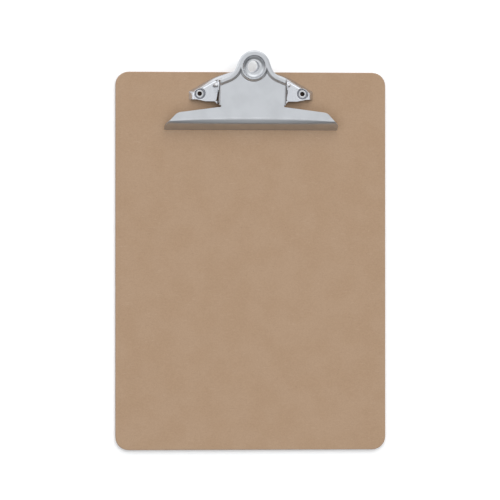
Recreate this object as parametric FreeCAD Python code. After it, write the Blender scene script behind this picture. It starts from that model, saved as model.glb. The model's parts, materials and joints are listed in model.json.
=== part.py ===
import FreeCAD, Part
import math
import os

os.makedirs("parts", exist_ok=True)

# A letter-size hardboard clipboard with a lever clip. Millimetres.
# The board lies in X and Y with its back face at Z = 0. The clip is at the +Y end.

# ---- board ----
BOARD_WIDTH = 228.6
BOARD_LENGTH = 317.5
BOARD_THICKNESS = 3.2
BOARD_CORNER_RADIUS = 11.0
BOARD_EDGE_EASE = 0.5
BOARD_TOP_EDGE = BOARD_LENGTH / 2

# ---- rivets ----
RIVET_X = 43.5
RIVET_Y = 140.5
RIVET_SHANK_RADIUS = 2.5
RIVET_HOLLOW_RADIUS = 1.8
RIVET_HOLLOW_FLOOR = 1.5
RIVET_HEAD_RADIUS = 4.75
RIVET_HEAD_THICKNESS = 0.9
RIVET_CLINCH_RADIUS = 3.2
RIVET_CLINCH_HEIGHT = 0.9
RIVET_HOLE_PLAY = 0.05
COUNTERBORE_PLAY = 0.15

# ---- base plate, pressed from one sheet ----
BASE_SHEET = 0.9
PLATFORM_TOP = 7.4
BEVEL_WIDTH = 3.3
BASE_TIP_X = 52.6
BASE_TIP_Y = 142.5
BASE_SHOULDER = (31.4, 154.6)
BASE_INNER_END = (19.2, 158.1)
BASE_FRONT_TIP_Y = 135.6
BASE_FRONT_Y = 134.0
BASE_FRONT_MIDDLE_Y = 131.6
BASE_CREASE_RADIUS = 1.5
DIMPLE_TOP_RADIUS = 4.8
DIMPLE_FLOOR_RADIUS = 3.9
TONGUE_ROOT_X = 16.6
TONGUE_ROOT_Y = 155.6
HANG_HOLE_Y = 164.0
HANG_HOLE_RADIUS = 5.0
HANG_RING_RADIUS = 8.8
EAR_INNER_X = 28.8
EAR_RADIUS = 4.6
EAR_FOOT_FRONT_Y = 134.9
EAR_FOOT_REAR_Y = 151.6
WINDOW_INNER_X = 17.6
WINDOW_END_GAP = 0.4

# ---- hinge ----
HINGE_Y = 147.6
HINGE_Z = 13.4
PIN_RADIUS = 1.9
PIN_HALF_LENGTH = 32.2
PIN_DOME = 1.3
PIN_RUNNING_PLAY = 0.05

# ---- lever, pressed from one sheet ----
LEVER_SHEET = 1.0
LEVER_TILT = math.radians(13.0)
FOLD_Y = 119.5
FOLD_Z = 13.6
FOLD_ARCH = 1.9
FOLD_ARCH_X = 60.0
LIP_TOP_Y = 115.2
LIP_TOP_Z = 11.5
LIP_FOOT_Y = 110.0
JAW_HALF_WIDTH = 73.5
JAW_REAR_Y = 122.5
PANEL_HALF_WIDTH = 28.4
LOBE_Y = 162.6
LOBE_RADIUS = 13.7
NECK_FLARE = math.radians(21.3)
NECK_CORNER_Y = 156.9
SHOULDER_Y = 152.3
RIM_HEIGHT = 1.5
RIM_WIDTH = 4.2
BOWL_RADIUS = 9.25
BOWL_DEPTH = 3.5
LEVER_HOLE_RADIUS = 5.0
FLANGE_DEPTH_RADIUS = 4.5
FLANGE_FRONT_Y = 130.5

# ---- torsion springs ----
SPRING_WIRE_RADIUS = 0.9
SPRING_COIL_RADIUS = 3.3
SPRING_COILS = 4
SPRING_PITCH = 1.95
SPRING_INNER_X = 6.0
SPRING_BASE_LEG_Y = 155.5
SPRING_LEVER_LEG_Y = 152.4
SPRING_LEG_PLAY = 0.05


def vector(x, y, z=0.0):
    return FreeCAD.Vector(x, y, z)


def rounded_wire(corners):
    """A closed flat wire through corners given as (x, y, radius)."""
    starts = []
    ends = []
    arcs = []
    for i, (x, y, radius) in enumerate(corners):
        corner = vector(x, y)
        before = (vector(*corners[i - 1][:2]) - corner).normalize()
        after = (vector(*corners[(i + 1) % len(corners)][:2]) - corner).normalize()
        half_angle = before.getAngle(after) / 2
        setback = radius / math.tan(half_angle)
        starts.append(corner + before * setback)
        ends.append(corner + after * setback)
        inward = (before + after).normalize()
        arcs.append(corner + inward * (radius / math.sin(half_angle) - radius))
    edges = []
    for i, corner in enumerate(corners):
        if corner[2] > 0:
            edges.append(Part.Arc(starts[i], arcs[i], ends[i]).toShape())
        following = starts[(i + 1) % len(corners)]
        if (following - ends[i]).Length > 1e-6:
            edges.append(Part.LineSegment(ends[i], following).toShape())
    return Part.Wire(edges)


def sharp(points):
    return [(x, y, 0.0) for x, y in points]


def mirrored(right_side):
    """Corners of a shape that is the same on both sides of X = 0, from its right-hand corners."""
    left_side = [(-x, y, radius) for x, y, radius in reversed(right_side) if x > 0]
    return right_side + left_side


def prism(wire, bottom, top):
    solid = Part.Face(wire).extrude(vector(0, 0, top - bottom))
    solid.translate(vector(0, 0, bottom))
    return solid


def side_wire(corners, x):
    """A wire whose corners are (y, z, radius), standing across the X axis at x."""
    wire = rounded_wire(corners)
    wire.Placement = FreeCAD.Placement(vector(x, 0), FreeCAD.Rotation(vector(1, 1, 1), 120))
    return wire


def side_bar(corners, x_from, x_to):
    return Part.Face(side_wire(corners, x_from)).extrude(vector(x_to - x_from, 0))


def box_between(low, high):
    size = vector(*high) - vector(*low)
    return Part.makeBox(size.x, size.y, size.z, vector(*low))


def upright_cylinder(radius, x, y, bottom, top):
    return Part.makeCylinder(radius, top - bottom, vector(x, y, bottom))


def cross_cylinder(radius, x_from, x_to):
    """A cylinder along the hinge axis."""
    return Part.makeCylinder(radius, x_to - x_from, vector(x_from, HINGE_Y, HINGE_Z), vector(1, 0))


def turned(profile, x, y):
    """A solid turned about the upright axis at (x, y) from (radius, z) corners."""
    points = [vector(radius, 0, z) for radius, z in profile]
    solid = Part.Face(Part.makePolygon(points + points[:1])).revolve(vector(0, 0), vector(0, 0, 1), 360)
    solid.translate(vector(x, y))
    return solid


def joined(shapes):
    return shapes[0].fuse(shapes[1:]).removeSplitter()


def line_meeting(point_a, direction_a, point_b, direction_b):
    cross = direction_a.x * direction_b.y - direction_a.y * direction_b.x
    gap = point_b - point_a
    along = (gap.x * direction_b.y - gap.y * direction_b.x) / cross
    return point_a + direction_a * along


def shifted_path(points, distance):
    """An open path of (x, y) points moved sideways, to the right of its direction of travel."""
    path = [vector(*point) for point in points]
    directions = [(b - a).normalize() for a, b in zip(path, path[1:])]
    rights = [vector(direction.y, -direction.x) for direction in directions]
    moved = [path[0] + rights[0] * distance]
    for i in range(1, len(directions)):
        before = path[i] + rights[i - 1] * distance
        after = path[i] + rights[i] * distance
        moved.append(line_meeting(before, directions[i - 1], after, directions[i]))
    moved.append(path[-1] + rights[-1] * distance)
    return [(point.x, point.y) for point in moved]


# ---- board ----

def board():
    half_width = BOARD_WIDTH / 2
    corners = [
        (half_width, -BOARD_TOP_EDGE, BOARD_CORNER_RADIUS),
        (half_width, BOARD_TOP_EDGE, BOARD_CORNER_RADIUS),
    ]
    slab = prism(rounded_wire(mirrored(corners)), 0, BOARD_THICKNESS)
    rims = [edge for face in slab.Faces if abs(face.normalAt(0, 0).z) > 0.9 for edge in face.Edges]
    slab = slab.makeChamfer(BOARD_EDGE_EASE, rims)
    for x in (-RIVET_X, RIVET_X):
        hole = upright_cylinder(RIVET_SHANK_RADIUS + RIVET_HOLE_PLAY, x, RIVET_Y, 0, BOARD_THICKNESS)
        recess_radius = RIVET_HEAD_RADIUS + COUNTERBORE_PLAY
        recess = upright_cylinder(recess_radius, x, RIVET_Y, 0, RIVET_HEAD_THICKNESS)
        slab = slab.cut(hole).cut(recess)
    return slab


# ---- rivets ----

def rivet(x):
    """A semi-tubular rivet: flat head in the back of the board, open end rolled over in front."""
    seat = BOARD_THICKNESS + BASE_SHEET
    crest = seat + RIVET_CLINCH_HEIGHT
    roll = RIVET_CLINCH_HEIGHT / 3
    profile = [
        (0, 0),
        (RIVET_HEAD_RADIUS, 0),
        (RIVET_HEAD_RADIUS, RIVET_HEAD_THICKNESS),
        (RIVET_SHANK_RADIUS, RIVET_HEAD_THICKNESS),
        (RIVET_SHANK_RADIUS, seat),
        (RIVET_CLINCH_RADIUS, seat),
        (RIVET_CLINCH_RADIUS, crest - roll),
        (RIVET_CLINCH_RADIUS - roll, crest),
        (RIVET_HOLLOW_RADIUS + roll, crest),
        (RIVET_HOLLOW_RADIUS, crest - roll),
        (RIVET_HOLLOW_RADIUS, RIVET_HOLLOW_FLOOR),
        (0, RIVET_HOLLOW_FLOOR - RIVET_HOLLOW_RADIUS / 3),
    ]
    return turned(profile, x, RIVET_Y)


# ---- base plate ----

def wing_edge():
    """Right-hand outer edge of the base plate where its bevel meets the board, front to back."""
    front_y = BASE_FRONT_Y - 10
    slope = (BASE_INNER_END[1] - BASE_SHOULDER[1]) / (BASE_INNER_END[0] - BASE_SHOULDER[0])
    middle_y = BASE_INNER_END[1] - slope * BASE_INNER_END[0]
    return [(BASE_TIP_X, front_y), (BASE_TIP_X, BASE_TIP_Y), BASE_SHOULDER, (0.0, middle_y)]


def bevelled_block(inset, top):
    """The raised plate's outer form, or its inside when it is moved in by one sheet."""
    rise = PLATFORM_TOP - BOARD_THICKNESS
    levels = []
    for z in (BOARD_THICKNESS - 1.0, top):
        lean = BEVEL_WIDTH * (z - BOARD_THICKNESS) / rise
        right_side = wing_edge()
        left_side = [(-x, y) for x, y in reversed(right_side[:-1])]
        edge = shifted_path(right_side + left_side, -(inset + lean))
        wire = rounded_wire(sharp(edge))
        wire.translate(vector(0, 0, z))
        levels.append(wire)
    block = Part.makeLoft(levels, True, True)
    creases = []
    for edge in block.Edges:
        middle = edge.CenterOfMass
        at_front = middle.y < BASE_FRONT_Y - 5
        if middle.z > BOARD_THICKNESS and not at_front and edge.Length > BASE_CREASE_RADIUS:
            creases.append(edge)
    return block.makeFillet(BASE_CREASE_RADIUS, creases)


def front_trim():
    """Everything that lies behind the base plate's open front edge and above the board."""
    corners = [
        (BASE_TIP_X + 5, HANG_HOLE_Y + 20, 0.0),
        (BASE_TIP_X + 5, BASE_FRONT_TIP_Y, 0.0),
        (46.0, BASE_FRONT_TIP_Y, 4.0),
        (39.0, BASE_FRONT_Y, 4.0),
        (EAR_INNER_X + 2.4, BASE_FRONT_Y, 1.0),
        (EAR_INNER_X, BASE_FRONT_MIDDLE_Y, 1.0),
    ]
    return prism(rounded_wire(mirrored(corners)), BOARD_THICKNESS, PLATFORM_TOP + 1)


def tongue_wire():
    ring_flare = math.atan2(TONGUE_ROOT_X, HANG_HOLE_Y + 15.3 - TONGUE_ROOT_Y)
    apex_y = HANG_HOLE_Y + HANG_RING_RADIUS / math.sin(ring_flare)
    corners = [
        (TONGUE_ROOT_X, BASE_FRONT_Y + 16, 0.0),
        (TONGUE_ROOT_X, TONGUE_ROOT_Y, 5.0),
        (0.0, apex_y, HANG_RING_RADIUS),
    ]
    return rounded_wire(mirrored(corners))


def dimple(x, inset):
    """The cone pressed down to the board at a rivet: its hollow, or its outside one sheet larger."""
    floor = BOARD_THICKNESS + BASE_SHEET - inset
    slope = (DIMPLE_TOP_RADIUS - DIMPLE_FLOOR_RADIUS) / (PLATFORM_TOP - floor)
    top_radius = DIMPLE_TOP_RADIUS + inset + slope
    cone = Part.makeCone(DIMPLE_FLOOR_RADIUS + inset, top_radius, PLATFORM_TOP + 1 - floor)
    cone.translate(vector(x, RIVET_Y, floor))
    return cone


def ear(side):
    """The upright that holds the hinge pin, bent up out of the base plate."""
    foot = PLATFORM_TOP - BASE_SHEET
    top = HINGE_Z + EAR_RADIUS
    corners = [
        (EAR_FOOT_FRONT_Y, foot, 0.0),
        (EAR_FOOT_REAR_Y, foot, 0.0),
        (HINGE_Y + EAR_RADIUS, top, EAR_RADIUS - 0.4),
        (HINGE_Y - EAR_RADIUS, top, EAR_RADIUS - 0.4),
    ]
    inner = side * EAR_INNER_X
    plate = side_bar(corners, inner, inner + side * BASE_SHEET)
    hole = cross_cylinder(PIN_RADIUS, inner - 2, inner + 2)
    return plate.cut(hole)


def clip_base():
    steep = BEVEL_WIDTH / (PLATFORM_TOP - BOARD_THICKNESS)
    wall_inset = BASE_SHEET * math.sqrt(1 + steep ** 2)
    outside = bevelled_block(0.0, PLATFORM_TOP)
    shell = outside.cut(bevelled_block(wall_inset, PLATFORM_TOP - BASE_SHEET))
    tongue = prism(tongue_wire(), PLATFORM_TOP - BASE_SHEET, PLATFORM_TOP)
    under_tongue = prism(tongue_wire(), 0, PLATFORM_TOP - BASE_SHEET)
    plate = shell.cut(under_tongue).fuse(tongue).common(front_trim())
    for x in (-RIVET_X, RIVET_X):
        cup = dimple(x, BASE_SHEET).common(outside).cut(dimple(x, 0.0))
        plate = plate.cut(dimple(x, 0.0)).fuse(cup)
        hole_radius = RIVET_SHANK_RADIUS + RIVET_HOLE_PLAY
        plate = plate.cut(upright_cylinder(hole_radius, x, RIVET_Y, 0, PLATFORM_TOP))
    plate = plate.cut(upright_cylinder(HANG_HOLE_RADIUS, 0, HANG_HOLE_Y, 0, PLATFORM_TOP + 1))
    for side in (-1, 1):
        xs = sorted((side * WINDOW_INNER_X, side * EAR_INNER_X))
        low = (xs[0], EAR_FOOT_FRONT_Y - WINDOW_END_GAP, 0)
        high = (xs[1], EAR_FOOT_REAR_Y + WINDOW_END_GAP, PLATFORM_TOP + 1)
        plate = plate.cut(box_between(low, high))
    return joined([plate, ear(-1), ear(1)])


# ---- hinge pin ----

def hinge_pin():
    pin = cross_cylinder(PIN_RADIUS, -PIN_HALF_LENGTH, PIN_HALF_LENGTH)
    rims = [edge for edge in pin.Edges if edge.Closed]
    return pin.makeFillet(PIN_DOME, rims)


# ---- lever ----

def panel_z(y):
    """Height of the flat panel's top face at y."""
    return FOLD_Z + (y - FOLD_Y) * math.tan(LEVER_TILT)


def panel_slab(low, high, y_from, y_to):
    """A slice of the tilted panel between two heights, measured square to its top face."""
    lower = low / math.cos(LEVER_TILT)
    upper = high / math.cos(LEVER_TILT)
    corners = [
        (y_from, panel_z(y_from) + lower),
        (y_to, panel_z(y_to) + lower),
        (y_to, panel_z(y_to) + upper),
        (y_from, panel_z(y_from) + upper),
    ]
    return side_bar(sharp(corners), -JAW_HALF_WIDTH - 5, JAW_HALF_WIDTH + 5)


def jaw_section(x):
    """The bent sheet of the jaw, from its foot on the board to just behind the arched fold."""
    fold_y = FOLD_Y - FOLD_ARCH * (x / FOLD_ARCH_X) ** 2
    outside = [
        (LIP_FOOT_Y, BOARD_THICKNESS),
        (LIP_TOP_Y, LIP_TOP_Z),
        (fold_y, panel_z(fold_y)),
        (JAW_REAR_Y, panel_z(JAW_REAR_Y)),
    ]
    inside = shifted_path(outside, LEVER_SHEET)
    lip_run = LIP_TOP_Y - LIP_FOOT_Y
    lip_rise = LIP_TOP_Z - BOARD_THICKNESS
    foot_width = LEVER_SHEET * math.hypot(lip_run, lip_rise) / lip_rise
    inside[0] = (LIP_FOOT_Y + foot_width, BOARD_THICKNESS)
    inside[-1] = (JAW_REAR_Y, panel_z(JAW_REAR_Y) - LEVER_SHEET / math.cos(LEVER_TILT))
    outer_radii = (0.0, 2.2, 3.0, 0.0)
    inner_radii = (0.0, 1.2, 2.0, 0.0)
    corners = [(y, z, radius) for (y, z), radius in zip(outside, outer_radii)]
    corners += [(y, z, radius) for (y, z), radius in reversed(list(zip(inside, inner_radii)))]
    return side_wire(corners, x)


def lobe_apex_y():
    return LOBE_Y + LOBE_RADIUS / math.sin(NECK_FLARE)


def neck_corner_x():
    return (lobe_apex_y() - NECK_CORNER_Y) * math.tan(NECK_FLARE)


def lever_wire():
    """The whole lever seen from above."""
    corners = [
        (JAW_HALF_WIDTH, LIP_FOOT_Y - 5, 0.0),
        (JAW_HALF_WIDTH, 113.6, 4.0),
        (63.4, 124.3, 8.0),
        (PANEL_HALF_WIDTH, 128.9, 1.2),
        (PANEL_HALF_WIDTH, SHOULDER_Y, 1.2),
        (neck_corner_x(), NECK_CORNER_Y, 12.0),
        (0.0, lobe_apex_y(), LOBE_RADIUS),
    ]
    return rounded_wire(mirrored(corners))


def neck_wire(inset):
    """The neck and lobe, running on past the panel's sides, moved in from the lever's edge."""
    slope = (NECK_CORNER_Y - SHOULDER_Y) / (neck_corner_x() - PANEL_HALF_WIDTH)
    far_x = PANEL_HALF_WIDTH + 30
    far_y = SHOULDER_Y + slope * (far_x - PANEL_HALF_WIDTH)
    edge = [(far_x, far_y), (neck_corner_x(), NECK_CORNER_Y), (0.0, lobe_apex_y())]
    moved = shifted_path(edge, -inset)
    apex_y = lobe_apex_y() - inset / math.sin(NECK_FLARE)
    corners = [
        (far_x, FOLD_Y, 0.0),
        (far_x, moved[0][1], 0.0),
        (moved[1][0], moved[1][1], 12.0 + inset),
        (0.0, apex_y, LOBE_RADIUS - inset),
    ]
    return rounded_wire(mirrored(corners))


def raised_region(inset, bottom, top):
    """The pressed-up rim of the neck and ring of the lobe, as an upright prism."""
    region = prism(neck_wire(inset), bottom, top)
    low_panel = prism(neck_wire(RIM_WIDTH - inset), bottom, top)
    low_panel = low_panel.cut(upright_cylinder(LOBE_RADIUS - inset, 0, LOBE_Y, bottom, top))
    sides = box_between(
        (-PANEL_HALF_WIDTH + inset, FOLD_Y, bottom),
        (PANEL_HALF_WIDTH - inset, LOBE_Y + 20, top),
    )
    return region.cut(low_panel).common(sides)


def tilted_about_lobe(shape):
    """Moves a shape built upright at the origin onto the panel's top face at the lobe."""
    shape.rotate(vector(0, 0), vector(1, 0), math.degrees(LEVER_TILT))
    shape.translate(vector(0, LOBE_Y, panel_z(LOBE_Y)))
    return shape


def bowl():
    """The dished thumb rest with its round hole, as one sheet turned about its own axis."""
    rim = RIM_HEIGHT
    floor = RIM_HEIGHT - BOWL_DEPTH
    under = floor - LEVER_SHEET
    outer_radius = BOWL_RADIUS + LEVER_SHEET
    top_curve = Part.Arc(
        vector(BOWL_RADIUS, 0, rim),
        vector(BOWL_RADIUS - 1.3, 0, floor + 1.1),
        vector(LEVER_HOLE_RADIUS, 0, floor),
    )
    under_curve = Part.Arc(
        vector(LEVER_HOLE_RADIUS, 0, under),
        vector(BOWL_RADIUS - 0.6, 0, under + 1.2),
        vector(outer_radius, 0, rim - LEVER_SHEET),
    )
    edges = [
        top_curve.toShape(),
        Part.LineSegment(vector(LEVER_HOLE_RADIUS, 0, floor), vector(LEVER_HOLE_RADIUS, 0, under)).toShape(),
        under_curve.toShape(),
        Part.LineSegment(vector(outer_radius, 0, rim - LEVER_SHEET), vector(outer_radius, 0, rim)).toShape(),
        Part.LineSegment(vector(outer_radius, 0, rim), vector(BOWL_RADIUS, 0, rim)).toShape(),
    ]
    dish = Part.Face(Part.Wire(edges)).revolve(vector(0, 0), vector(0, 0, 1), 360)
    return tilted_about_lobe(dish)


def lever_flange(side):
    """A side of the lever, folded down inside the ear and wrapped round the hinge pin."""
    foot = HINGE_Z - FLANGE_DEPTH_RADIUS
    rear_y = HINGE_Y + FLANGE_DEPTH_RADIUS
    half_sheet = LEVER_SHEET / 2
    corners = [
        (FLANGE_FRONT_Y, panel_z(FLANGE_FRONT_Y) - half_sheet, 0.0),
        (FLANGE_FRONT_Y, panel_z(FLANGE_FRONT_Y) - 2 * LEVER_SHEET, 0.0),
        (HINGE_Y - FLANGE_DEPTH_RADIUS - 1, foot, FLANGE_DEPTH_RADIUS),
        (rear_y, foot, FLANGE_DEPTH_RADIUS - 0.2),
        (rear_y, panel_z(rear_y) - half_sheet, 0.0),
    ]
    outer = side * PANEL_HALF_WIDTH
    flange = side_bar(corners, outer, outer - side * LEVER_SHEET)
    hole = cross_cylinder(PIN_RADIUS + PIN_RUNNING_PLAY, outer - 3, outer + 3)
    return flange.cut(hole)


def clip_lever():
    section_xs = [JAW_HALF_WIDTH * step / 2 for step in (-2.2, -1, 0, 1, 2.2)]
    jaw = Part.makeLoft([jaw_section(x) for x in section_xs], True)
    low = 0.0
    high = 45.0
    jaw = jaw.common(prism(lever_wire(), low, high))
    end_y = LOBE_Y + 20
    flat = panel_slab(-LEVER_SHEET, 0, JAW_REAR_Y, end_y)
    flat = flat.common(prism(lever_wire(), low, high))
    flat = flat.cut(raised_region(LEVER_SHEET, low, high))
    rim_outside = panel_slab(-LEVER_SHEET, RIM_HEIGHT, FLANGE_FRONT_Y, end_y)
    rim_inside = panel_slab(-2 * LEVER_SHEET, RIM_HEIGHT - LEVER_SHEET, FLANGE_FRONT_Y, end_y)
    rim = rim_outside.common(raised_region(0.0, low, high))
    rim = rim.cut(rim_inside.common(raised_region(LEVER_SHEET, low, high)))
    hollow = tilted_about_lobe(Part.makeCylinder(BOWL_RADIUS + LEVER_SHEET / 2, 12, vector(0, 0, -6)))
    body = joined([jaw, flat, rim]).cut(hollow)
    return joined([body, bowl(), lever_flange(-1), lever_flange(1)])


# ---- torsion springs ----

def leaving_angle(y, z, above):
    """Angle on the coil, seen along X, where a straight leg to (y, z) leaves it."""
    reach = math.hypot(y - HINGE_Y, z - HINGE_Z)
    toward = math.atan2(z - HINGE_Z, y - HINGE_Y)
    spread = math.acos(SPRING_COIL_RADIUS / reach)
    return toward + spread if above else toward - spread


def coil_point(x, angle):
    return vector(
        x,
        HINGE_Y + SPRING_COIL_RADIUS * math.cos(angle),
        HINGE_Z + SPRING_COIL_RADIUS * math.sin(angle),
    )


def leg_end(start, y, z, drift):
    """End of a leg that keeps the coil's slope, so the wire runs on without a kink."""
    run = math.hypot(y - start.y, z - start.z)
    return vector(start.x + drift * run, y, z)


def torsion_spring(side):
    """A coil round the hinge pin, one leg under the lever and one on the base plate."""
    base_leg_z = PLATFORM_TOP + SPRING_WIRE_RADIUS
    lever_under = panel_z(SPRING_LEVER_LEG_Y) - LEVER_SHEET / math.cos(LEVER_TILT)
    lever_leg_z = lever_under - SPRING_WIRE_RADIUS / math.cos(LEVER_TILT) - SPRING_LEG_PLAY
    lever_angle = leaving_angle(SPRING_LEVER_LEG_Y, lever_leg_z, True)
    base_angle = leaving_angle(SPRING_BASE_LEG_Y, base_leg_z, False)
    turn = base_angle - lever_angle + 2 * math.pi * SPRING_COILS
    length = SPRING_PITCH * turn / (2 * math.pi)
    slope = SPRING_PITCH / (2 * math.pi * SPRING_COIL_RADIUS)
    helix = Part.makeHelix(SPRING_PITCH, length, SPRING_COIL_RADIUS)
    helix.rotate(vector(0, 0), vector(0, 0, 1), math.degrees(lever_angle))
    across = FreeCAD.Placement(
        vector(0, HINGE_Y, HINGE_Z), FreeCAD.Rotation(vector(1, 1, 1), 120)
    )
    helix.Placement = across.multiply(helix.Placement)
    coil_start = coil_point(0, lever_angle)
    coil_end = coil_point(length, base_angle)
    lever_tip = leg_end(coil_start, SPRING_LEVER_LEG_Y, lever_leg_z, -slope)
    base_tip = leg_end(coil_end, SPRING_BASE_LEG_Y, base_leg_z, slope)
    path = Part.Wire([
        Part.LineSegment(lever_tip, coil_start).toShape(),
        helix.Edges[0],
        Part.LineSegment(coil_end, base_tip).toShape(),
    ])
    along = coil_start - lever_tip
    profile = Part.Wire(Part.makeCircle(SPRING_WIRE_RADIUS, lever_tip, along))
    spring = path.makePipeShell([profile], True, False)
    spring.translate(vector(SPRING_INNER_X, 0))
    if side < 0:
        spring = spring.mirror(vector(0, 0), vector(1, 0))
    return spring


pieces = {
    "board": board(),
    "clip_base": clip_base(),
    "clip_lever": clip_lever(),
    "hinge_pin": hinge_pin(),
}
for name, side in (("left", -1), ("right", 1)):
    pieces["torsion_spring_" + name] = torsion_spring(side)
    pieces["rivet_" + name] = rivet(side * RIVET_X)

for node, shape in pieces.items():
    shape.exportStep("parts/" + node + ".step")
    box = shape.BoundBox
    print(node, len(shape.Solids), "solid, valid", shape.isValid(), round(shape.Volume, 1), "mm3",
          [round(value, 2) for value in (box.XMin, box.XMax, box.YMin, box.YMax, box.ZMin, box.ZMax)])
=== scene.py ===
import json
import math

import bmesh
import bpy
import numpy as np
from mathutils import Euler, Matrix, Vector
from mathutils.geometry import delaunay_2d_cdt
from mathutils.kdtree import KDTree

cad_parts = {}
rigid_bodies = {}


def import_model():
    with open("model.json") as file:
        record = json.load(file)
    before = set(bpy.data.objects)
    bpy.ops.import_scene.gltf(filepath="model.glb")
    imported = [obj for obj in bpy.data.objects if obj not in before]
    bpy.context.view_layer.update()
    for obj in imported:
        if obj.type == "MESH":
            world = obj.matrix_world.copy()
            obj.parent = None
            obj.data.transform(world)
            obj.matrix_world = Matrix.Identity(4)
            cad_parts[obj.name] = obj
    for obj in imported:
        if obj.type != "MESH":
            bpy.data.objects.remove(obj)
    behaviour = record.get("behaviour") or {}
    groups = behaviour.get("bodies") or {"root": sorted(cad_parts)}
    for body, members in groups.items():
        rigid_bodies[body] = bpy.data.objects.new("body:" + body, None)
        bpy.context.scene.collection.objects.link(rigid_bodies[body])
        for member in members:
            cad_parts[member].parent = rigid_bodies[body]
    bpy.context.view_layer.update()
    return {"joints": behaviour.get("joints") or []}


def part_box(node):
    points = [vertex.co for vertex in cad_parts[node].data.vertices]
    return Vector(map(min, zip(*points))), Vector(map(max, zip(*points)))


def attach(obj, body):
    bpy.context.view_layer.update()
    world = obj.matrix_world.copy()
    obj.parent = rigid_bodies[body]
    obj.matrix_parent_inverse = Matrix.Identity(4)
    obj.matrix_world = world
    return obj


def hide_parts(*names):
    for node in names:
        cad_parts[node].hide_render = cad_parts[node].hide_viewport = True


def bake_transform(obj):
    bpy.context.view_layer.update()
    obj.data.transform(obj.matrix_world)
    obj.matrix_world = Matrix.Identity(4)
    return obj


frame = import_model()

# A hardboard clipboard with a pressed steel lever clip. Shapes are worked out in millimetres
# in the row frame, and turned into metres only when a mesh is made.

MM = 0.001
JOINT = frame["joints"][0]
BASE_BODY = JOINT["parent"]
LEVER_BODY = JOINT["child"]


def cad_mm(node):
    low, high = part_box(node)
    return np.array(low) / MM, np.array(high) / MM


# -------- sizes

BOARD_LOW, BOARD_HIGH = cad_mm("board")
BOARD_TOP = BOARD_HIGH[2]
BOARD_CORNER_RADIUS = 11.0
BOARD_EDGE_RADIUS = 0.55

RIVET_LOW, RIVET_HIGH = cad_mm("rivet_right")
RIVET_X = (RIVET_LOW[0] + RIVET_HIGH[0]) / 2
RIVET_Y = (RIVET_LOW[1] + RIVET_HIGH[1]) / 2
RIVET_HEAD_RADIUS = (RIVET_HIGH[0] - RIVET_LOW[0]) / 2
RIVET_HEAD_THICKNESS = 0.9
RIVET_HEAD_EASE = 0.25
RIVET_RECESS_RADIUS = RIVET_HEAD_RADIUS + 0.15
RIVET_SHANK_RADIUS = 2.5
RIVET_HOLE_RADIUS = RIVET_SHANK_RADIUS + 0.05
RIVET_ROLL = 0.42
RIVET_ROLL_OUTER_RADIUS = 3.2
RIVET_HOLLOW_RADIUS = 1.8
RIVET_HOLLOW_FLOOR = [(1.66, 1.9), (1.3, 1.55), (0.6, 1.42), (0.0, 1.4)]

HINGE_Y, HINGE_Z = [value / MM for value in JOINT["pos_m"][1:]]
PIN_HALF_LENGTH = cad_mm("hinge_pin")[1][0]
PIN_RADIUS = 1.9
PIN_DOME = 1.25
PIN_PLAY = 0.05

BASE_HIGH = cad_mm("clip_base")[1]
BASE_SHEET = 0.9
FRONT_TAB_Y = 131.6
FRONT_Y = 134.0
FRONT_STEP_X = (39.0, 46.0)
WING_FRONT_Y = 135.6
PLATFORM_TOP = 7.4
BEVEL_WIDTH = 3.3
BEVEL_SHOULDER = (31.4, 154.6)
BEVEL_INNER_END = (19.2, 158.1)
BEVEL_TIP_Y = 142.5
BEVEL_CREASE = 1.2
PLATFORM_CREASE = 1.1
DIMPLE_FLOOR_RADIUS = 3.6
DIMPLE_TOP_RADIUS = 4.7
DIMPLE_FLOOR_CREASE = 0.8
DIMPLE_TOP_CREASE = 1.2
TONGUE_ROOT = (16.6, 155.6)
TONGUE_MEET = 15.3
TONGUE_STEP = 0.6
TONGUE_GAP = 0.35
HANG_HOLE_Y = 164.0
HANG_HOLE_RADIUS = 5.0
HANG_RING_RADIUS = 8.8
EAR_INNER_X = 28.8
EAR_FOOT_FRONT_Y = 134.9
EAR_FOOT_REAR_Y = 151.6
EAR_RADIUS = 4.6
EAR_BEND = 0.5
WINDOW_INNER_X = 17.6
WINDOW_END_GAP = 0.4

LEVER_LOW, LEVER_HIGH = cad_mm("clip_lever")
LEVER_SHEET = 1.0
TILT = math.radians(13.0)
FOLD_Y = 119.5
FOLD_Z = 13.6
FOLD_ARCH = 1.9
FOLD_ARCH_X = 60.0
LIP_FOOT_Y = LEVER_LOW[1]
LIP_FOOT_Z = BOARD_TOP
LIP_TOP_Y = 115.2
LIP_TOP_Z = 11.5
LIP_CREASE = 1.1
FOLD_CREASE = 0.4
JAW_HALF_WIDTH = LEVER_HIGH[0]
JAW_CORNER_Y = 113.6
JAW_BEND = (63.4, 124.3)
PANEL_HALF_WIDTH = 28.4
PANEL_FRONT_Y = 129.06
SHOULDER_Y = 152.3
NECK_CORNER_Y = 156.9
NECK_FLARE = math.radians(21.3)
NECK_RADIUS = 12.0
LOBE_Y = 162.6
LOBE_RADIUS = 13.7
RIM_HEIGHT = 1.7
RIM_WIDTH = 3.4
RIM_STEP = 2.3
RING_RADIUS = 10.3
BOWL_RADIUS = 9.25
BOWL_DEPTH = 3.5
BOWL_MARGIN = 0.3
BOWL_OVERRUN = 0.35
BOWL_ROUNDNESS = 2.2
BOWL_CREASE = 0.7
LEVER_HOLE_RADIUS = 5.0
ROLL = 1.7
RIM_DEPTH = 2.5
FLANGE_FRONT_Y = 130.2
FLANGE_REAR_Y = 152.0
FLANGE_DEPTH_RADIUS = 4.5

SPRING_WIRE_RADIUS = 0.9
SPRING_COIL_RADIUS = 3.3
SPRING_COILS = 4
SPRING_PITCH = 1.95
SPRING_INNER_X = 6.0
SPRING_BASE_LEG_Y = 155.5
SPRING_LEVER_LEG_Y = 152.4
SPRING_LEG_GAP = 0.05
SPRING_PLAY = 0.02

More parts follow.
